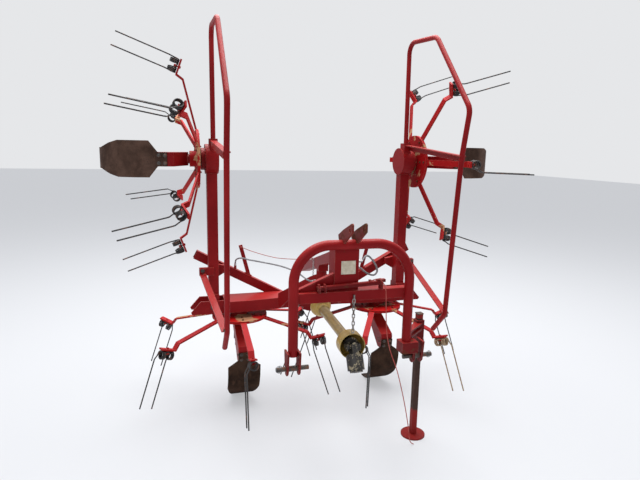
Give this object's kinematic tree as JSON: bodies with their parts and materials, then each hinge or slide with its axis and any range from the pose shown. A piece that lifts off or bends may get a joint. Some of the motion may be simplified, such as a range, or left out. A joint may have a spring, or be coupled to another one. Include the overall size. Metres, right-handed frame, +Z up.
{
  "type": "hay tedder",
  "caption": "Tractor-mounted hay tedder with spring-tine rotors, folding wings, a hitch loop, skids and a parking stand, parked with its wings up.",
  "frame": {"origin": "on the ground, under the middle of the machine's box", "axes": "+X to the right as seen from the hitch side, +Y from the hitch back to the rotors, +Z up"},
  "size_m": [3.08, 2.08, 2.7992],
  "materials": {
    "red_paint": "weathered gloss",
    "rusty_red": "worn matt",
    "rusty_steel": "rusted",
    "dark_steel": "dull",
    "bright_rod": "polished",
    "guard_plastic": "matt",
    "spring_steel": "dull",
    "red_rope": "matt",
    "hose_rubber": "matt"
  },
  "bodies": {
    "chassis": {"main_beam": "red_paint", "gearbox": "red_paint", "swing_boom": "red_paint", "skid_legs": "red_paint", "skids": "rusty_steel", "left_hose": "hose_rubber"},
    "headstock": {"hitch_loop": "red_paint", "crossbar": "red_paint", "column": "red_paint", "swing_arm": "red_paint", "top_link_bracket": "rusty_red", "hitch_lugs": "red_paint", "hitch_pins": "dark_steel", "lock_link": "red_paint", "stand_sleeve": "rusty_red", "pto_guard": "guard_plastic", "pto_shaft": "dark_steel", "pto_chain": "dark_steel", "stand_rope": "red_rope", "right_hose": "hose_rubber"},
    "parking_stand": {"stand": "rusty_steel"},
    "wing_left": {"wing_post_left": "red_paint", "wing_housing_left": "red_paint", "guard_left": "red_paint", "wing_leg_left": "red_paint", "wing_skid_left": "rusty_steel"},
    "inner_rotor_left": {"rotor_inner_left": "red_paint", "tines_inner_left": "spring_steel"},
    "wing_rotor_left": {"rotor_wing_left": "red_paint", "tines_wing_left": "spring_steel"},
    "ram_left": {"ram_guide_left": "red_paint", "latch_lever_left": "red_paint"},
    "rod_left": {"ram_rod_left": "bright_rod"},
    "wing_right": {"wing_post_right": "red_paint", "wing_housing_right": "red_paint", "guard_right": "red_paint", "wing_leg_right": "red_paint", "wing_skid_right": "rusty_steel"},
    "inner_rotor_right": {"rotor_inner_right": "red_paint", "tines_inner_right": "spring_steel"},
    "wing_rotor_right": {"rotor_wing_right": "red_paint", "tines_wing_right": "spring_steel"},
    "ram_right": {"ram_guide_right": "red_paint", "latch_lever_right": "red_paint"},
    "rod_right": {"ram_rod_right": "bright_rod"}
  },
  "joints": [
    {"name": "headstock_swing", "type": "hinge", "parent": "chassis", "child": "headstock", "pos_m": [-0.032, -0.196, 1.04], "axis": [0, 0, 1], "range_deg": [-10, 10]},
    {"name": "stand_slide", "type": "slide", "parent": "headstock", "child": "parking_stand", "axis": [0, 0, 1], "range_m": [0, 0.5]},
    {"name": "fold_left", "type": "hinge", "parent": "chassis", "child": "wing_left", "pos_m": [-0.775, 0.204, 0.765], "axis": [0, -1, 0], "range_deg": [0, 90]},
    {"name": "fold_right", "type": "hinge", "parent": "chassis", "child": "wing_right", "pos_m": [0.775, 0.204, 0.765], "axis": [0, 1, 0], "range_deg": [0, 90]},
    {"name": "spin_inner_left", "type": "hinge", "parent": "chassis", "child": "inner_rotor_left", "pos_m": [-0.576, 0.204, 0.668], "axis": [0, 0, 1], "continuous": true},
    {"name": "spin_inner_right", "type": "hinge", "parent": "chassis", "child": "inner_rotor_right", "pos_m": [0.576, 0.204, 0.668], "axis": [0, 0, 1], "continuous": true},
    {"name": "spin_wing_left", "type": "hinge", "parent": "wing_left", "child": "wing_rotor_left", "pos_m": [-0.872, 0.204, 1.871], "axis": [1, 0, 0], "continuous": true},
    {"name": "spin_wing_right", "type": "hinge", "parent": "wing_right", "child": "wing_rotor_right", "pos_m": [0.872, 0.204, 1.871], "axis": [-1, 0, 0], "continuous": true},
    {"name": "ram_swing_left", "type": "hinge", "parent": "chassis", "child": "ram_left", "pos_m": [-0.18, 0.33, 0.745], "axis": [0, -1, 0], "range_deg": [0, 23]},
    {"name": "rod_slide_left", "type": "slide", "parent": "ram_left", "child": "rod_left", "axis": [-0.8783, 0, 0.478], "range_m": [0, 0.275]},
    {"name": "ram_swing_right", "type": "hinge", "parent": "chassis", "child": "ram_right", "pos_m": [0.18, 0.33, 0.745], "axis": [0, 1, 0], "range_deg": [0, 23]},
    {"name": "rod_slide_right", "type": "slide", "parent": "ram_right", "child": "rod_right", "axis": [0.8783, 0, 0.478], "range_m": [0, 0.275]}
  ],
  "couplings": [
    {"joint": "spin_inner_right", "follows": "spin_inner_left", "ratio": -1},
    {"joint": "spin_wing_right", "follows": "spin_inner_left", "ratio": 1},
    {"joint": "spin_wing_left", "follows": "spin_inner_left", "ratio": -1},
    {"joint": "ram_swing_left", "follows": "fold_left", "ratio": 0.2471},
    {"joint": "rod_slide_left", "follows": "fold_left", "m_per_rad": 0.1727},
    {"joint": "ram_swing_right", "follows": "fold_right", "ratio": 0.2471},
    {"joint": "rod_slide_right", "follows": "fold_right", "m_per_rad": 0.1727}
  ]
}
